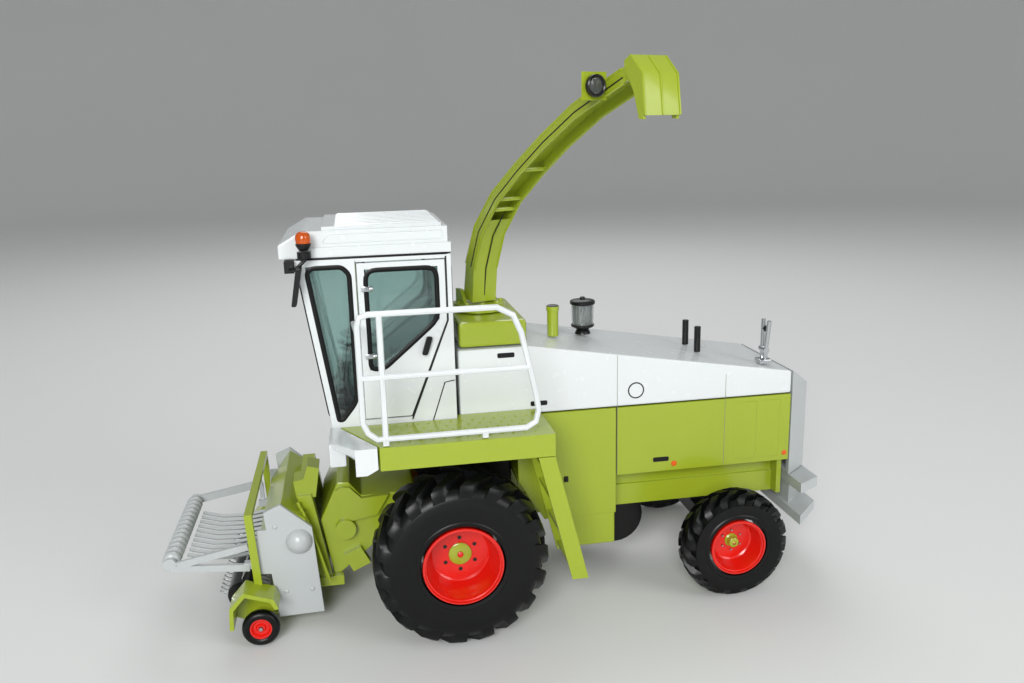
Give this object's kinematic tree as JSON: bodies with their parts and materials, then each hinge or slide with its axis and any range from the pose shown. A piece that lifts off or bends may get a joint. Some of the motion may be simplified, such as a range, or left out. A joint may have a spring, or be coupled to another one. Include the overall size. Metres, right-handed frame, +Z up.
{
  "type": "forage harvester",
  "caption": "Die-cast scale model of a self-propelled forage harvester with pickup header, cab, rear engine bonnet and a swung discharge spout.",
  "frame": {"origin": "centre of the whole bounding box at ground level, with the spout swung to the left as it stands", "axes": "+Z up, front of the machine towards -Y, rear towards +Y, its left side (cab door, ladder) towards +X"},
  "size_m": [0.1312, 0.2066, 0.1585],
  "materials": {
    "amber_plastic": "clear amber moulding",
    "black_paint": "satin moulded plastic",
    "bright_metal": "bare metal",
    "grey_paint": "satin moulded plastic",
    "light_green": "gloss paint over die-cast metal",
    "red_paint": "gloss moulded plastic",
    "tinted_glass": "clear tinted moulding",
    "tyre_rubber": "soft matt rubber",
    "white_paint": "gloss paint over die-cast metal"
  },
  "bodies": {
    "machine": {"chassis_frame": "light_green", "front_axle": "black_paint", "rear_axle": "black_paint", "chopper_housing": "black_paint", "bonnet": "white_paint", "front_panel_left": "light_green", "front_panel_right": "light_green", "rear_panel_left": "light_green", "rear_panel_right": "light_green", "tail_panel": "grey_paint", "rear_bumper": "grey_paint", "cab_shell": "white_paint", "cab_roof": "white_paint", "windscreen": "tinted_glass", "quarter_glass_left": "tinted_glass", "quarter_glass_right": "tinted_glass", "side_glass_right": "tinted_glass", "rear_glass": "tinted_glass", "cab_interior": "black_paint", "platform_left": "light_green", "fender_right": "light_green", "platform_corner_left": "white_paint", "platform_corner_right": "white_paint", "handrail": "white_paint", "ladder": "light_green", "spout_housing": "light_green", "precleaner": "black_paint", "filler_neck": "light_green", "breather_left": "black_paint", "breather_right": "black_paint", "spout_rest": "bright_metal", "mirror_left": "black_paint", "beacon": "amber_plastic", "belly_drum": "black_paint"},
    "cab_door": {"cab_door": "white_paint", "door_glass": "tinted_glass"},
    "front_wheel_left": {"front_tyre_left": "tyre_rubber", "front_rim_left": "red_paint"},
    "front_wheel_right": {"front_tyre_right": "tyre_rubber", "front_rim_right": "red_paint"},
    "rear_knuckle_left": {"rear_knuckle_left": "black_paint"},
    "rear_knuckle_right": {"rear_knuckle_right": "black_paint"},
    "rear_wheel_left": {"rear_tyre_left": "tyre_rubber", "rear_rim_left": "red_paint"},
    "rear_wheel_right": {"rear_tyre_right": "tyre_rubber", "rear_rim_right": "red_paint"},
    "header": {"feeder_housing": "light_green", "header_hood": "light_green", "header_side_left": "grey_paint", "header_side_right": "grey_paint", "header_hoop": "light_green", "wind_guard": "grey_paint"},
    "gauge_wheel_left": {"gauge_wheel_left": "tyre_rubber"},
    "gauge_wheel_right": {"gauge_wheel_right": "tyre_rubber"},
    "press_roller": {"press_roller": "grey_paint"},
    "pickup_reel": {"pickup_reel": "black_paint"},
    "spout_base": {"spout_turret": "light_green"},
    "spout_arm": {"spout_chute": "light_green", "spout_lamp": "black_paint"},
    "spout_flap": {"spout_flap": "light_green"}
  },
  "joints": [
    {"name": "front_wheel_left_spin", "type": "hinge", "parent": "machine", "child": "front_wheel_left", "pos_m": [0.01981, -0.01845, 0.0251], "axis": [1, 0, 0], "continuous": true},
    {"name": "front_wheel_right_spin", "type": "hinge", "parent": "machine", "child": "front_wheel_right", "pos_m": [-0.05659, -0.01845, 0.0251], "axis": [1, 0, 0], "continuous": true},
    {"name": "rear_steer_left", "type": "hinge", "parent": "machine", "child": "rear_knuckle_left", "pos_m": [0.00681, 0.06725, 0.017], "axis": [0, 0, 1], "range_deg": [-20, 20]},
    {"name": "rear_steer_right", "type": "hinge", "parent": "machine", "child": "rear_knuckle_right", "pos_m": [-0.04359, 0.06725, 0.017], "axis": [0, 0, 1], "range_deg": [-20, 20]},
    {"name": "rear_wheel_left_spin", "type": "hinge", "parent": "rear_knuckle_left", "child": "rear_wheel_left", "pos_m": [0.01501, 0.06725, 0.017], "axis": [1, 0, 0], "continuous": true},
    {"name": "rear_wheel_right_spin", "type": "hinge", "parent": "rear_knuckle_right", "child": "rear_wheel_right", "pos_m": [-0.05179, 0.06725, 0.017], "axis": [1, 0, 0], "continuous": true},
    {"name": "cab_door_hinge", "type": "hinge", "parent": "machine", "child": "cab_door", "pos_m": [0.00451, -0.0425, 0.085], "axis": [0, 0, -1], "range_deg": [0, 42]},
    {"name": "header_lift", "type": "hinge", "parent": "machine", "child": "header", "pos_m": [-0.01839, -0.02845, 0.033], "axis": [-1, 0, 0], "range_deg": [0, 20]},
    {"name": "gauge_wheel_left_spin", "type": "hinge", "parent": "header", "child": "gauge_wheel_left", "pos_m": [0.01371, -0.07615, 0.0054], "axis": [1, 0, 0], "continuous": true},
    {"name": "gauge_wheel_right_spin", "type": "hinge", "parent": "header", "child": "gauge_wheel_right", "pos_m": [-0.05049, -0.07615, 0.0054], "axis": [1, 0, 0], "continuous": true},
    {"name": "press_roller_spin", "type": "hinge", "parent": "header", "child": "press_roller", "pos_m": [-0.01839, -0.10085, 0.0237], "axis": [1, 0, 0], "continuous": true},
    {"name": "pickup_reel_spin", "type": "hinge", "parent": "header", "child": "pickup_reel", "pos_m": [-0.01839, -0.08195, 0.0106], "axis": [1, 0, 0], "continuous": true},
    {"name": "spout_swing", "type": "hinge", "parent": "machine", "child": "spout_base", "pos_m": [-0.01839, -0.00495, 0.09], "axis": [0, 0, -1], "range_deg": [-170, 30]},
    {"name": "spout_lift", "type": "hinge", "parent": "spout_base", "child": "spout_arm", "pos_m": [-0.02159, -0.00611, 0.093], "axis": [0.342, -0.9397, 0], "range_deg": [0, 20]},
    {"name": "spout_flap_tilt", "type": "hinge", "parent": "spout_arm", "child": "spout_flap", "pos_m": [0.05793, 0.02283, 0.15681], "axis": [0.342, -0.9397, 0], "range_deg": [-25, 35]}
  ],
  "couplings": [
    {"joint": "rear_steer_right", "follows": "rear_steer_left", "ratio": 1}
  ]
}
